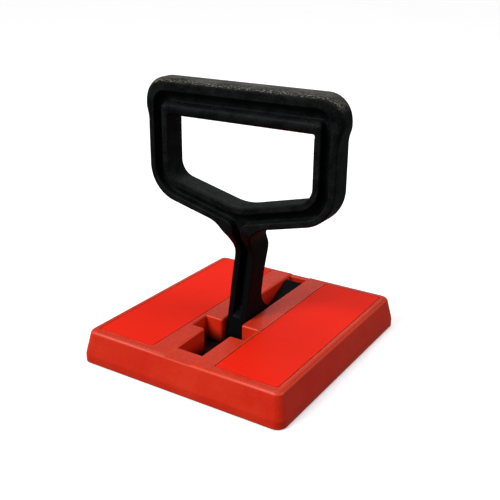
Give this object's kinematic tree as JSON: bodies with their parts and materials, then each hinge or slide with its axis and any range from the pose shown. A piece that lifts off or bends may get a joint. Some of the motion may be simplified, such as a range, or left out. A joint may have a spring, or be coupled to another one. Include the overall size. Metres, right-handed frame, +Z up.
{
  "type": "magnetic hand lifter",
  "caption": "Hand-held magnet lifter: flat red moulded base with label panels and a central slot, and a black D handle that tilts on a cross pin to lever the base off steel.",
  "frame": {"origin": "centre of the working face, on the underside of the base", "axes": "+X across the slot, +Y along the slot to the rear, where the tail points, +Z up, out of the label panels"},
  "size_m": [0.13, 0.141, 0.153],
  "materials": {
    "red_moulding": "moulded plastic, satin, orange-red",
    "label_film": "flat bright red film, satin",
    "stainless": "brushed stainless sheet",
    "screw_steel": "blackened steel",
    "pack_steel": "zinc-plated mild steel",
    "tray_plastic": "natural moulded plastic",
    "ferrite": "sintered ferrite, dark grey",
    "ground_steel": "ground steel",
    "spring_steel": "spring steel",
    "black_moulding": "glass-filled moulding, satin black with a slate cast",
    "bronze": "sintered bronze"
  },
  "bodies": {
    "base": {"housing": "red_moulding", "label_left": "label_film", "label_right": "label_film", "face_plate": "stainless", "face_screws": "screw_steel", "yoke_left": "pack_steel", "yoke_right": "pack_steel", "tray_left": "tray_plastic", "tray_right": "tray_plastic", "magnet_left_front": "ferrite", "magnet_left_middle": "ferrite", "magnet_left_rear": "ferrite", "magnet_right_front": "ferrite", "magnet_right_middle": "ferrite", "magnet_right_rear": "ferrite", "pivot_pin": "ground_steel", "pin_cap_left": "black_moulding", "pin_cap_right": "black_moulding", "cap_screws": "screw_steel", "friction_washer_left": "spring_steel", "friction_washer_right": "spring_steel"},
    "lever": {"handle": "black_moulding", "pivot_bush": "bronze"}
  },
  "joints": [
    {"name": "handle_tilt", "type": "hinge", "parent": "base", "child": "lever", "pos_m": [0, -0.0045, 0.0095], "axis": [1, 0, 0], "range_deg": [-64, 74]}
  ]
}
